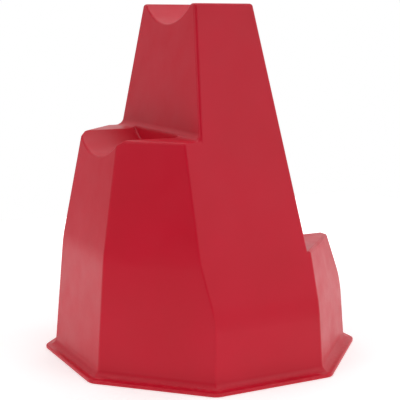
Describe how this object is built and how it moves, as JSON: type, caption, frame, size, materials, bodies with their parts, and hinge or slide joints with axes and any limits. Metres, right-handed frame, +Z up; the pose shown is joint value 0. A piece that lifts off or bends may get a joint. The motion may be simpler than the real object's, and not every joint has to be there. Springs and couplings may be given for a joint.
{
  "type": "water filled barrier block",
  "caption": "Stepped octagonal ballast block with round rail rests on three levels, a flanged foot, a screw-capped filler and a drain plug.",
  "frame": {"origin": "on the floor, on the axis of the octagonal foot", "axes": "+Z up; +X towards the low step, the filler and the drain; the rail rests run along X"},
  "size_m": [0.407, 0.407, 0.475],
  "materials": {
    "shell_plastic": "satin moulded",
    "base_plastic": "matte moulded",
    "fitting_plastic": "satin moulded",
    "seal_rubber": "matte",
    "screw_steel": "brushed",
    "insert_brass": "turned"
  },
  "bodies": {
    "block": {"outer_shell": "shell_plastic", "base_pan": "base_plastic", "base_seal": "seal_rubber", "base_screws": "screw_steel", "base_washers": "seal_rubber", "base_inserts": "insert_brass", "filler_neck": "fitting_plastic", "filler_gasket": "seal_rubber", "filler_nut": "fitting_plastic", "drain_bush": "fitting_plastic", "drain_gasket": "seal_rubber", "drain_nut": "fitting_plastic"},
    "filler_seal": {"filler_seal": "seal_rubber"},
    "filler_cap": {"filler_cap": "fitting_plastic"},
    "drain_seal": {"drain_seal": "seal_rubber"},
    "drain_plug": {"drain_plug": "fitting_plastic"}
  },
  "joints": [
    {"name": "cap_lift", "type": "slide", "parent": "block", "child": "filler_seal", "axis": [0.9936, 0, 0.1132], "range_m": [0, 0.01]},
    {"name": "cap_turn", "type": "hinge", "parent": "filler_seal", "child": "filler_cap", "pos_m": [0.04216, 0, 0.403], "axis": [0.9936, 0, 0.1132], "range_deg": [0, 900]},
    {"name": "plug_lift", "type": "slide", "parent": "block", "child": "drain_seal", "axis": [0.9969, 0, 0.0785], "range_m": [0, 0.012]},
    {"name": "plug_turn", "type": "hinge", "parent": "drain_seal", "child": "drain_plug", "pos_m": [0.18625, 0, 0.054], "axis": [0.9969, 0, 0.0785], "range_deg": [0, 1440]}
  ],
  "couplings": [
    {"joint": "cap_turn", "follows": "cap_lift", "rad_per_m": 1570.8},
    {"joint": "plug_turn", "follows": "plug_lift", "rad_per_m": 2094.4}
  ]
}
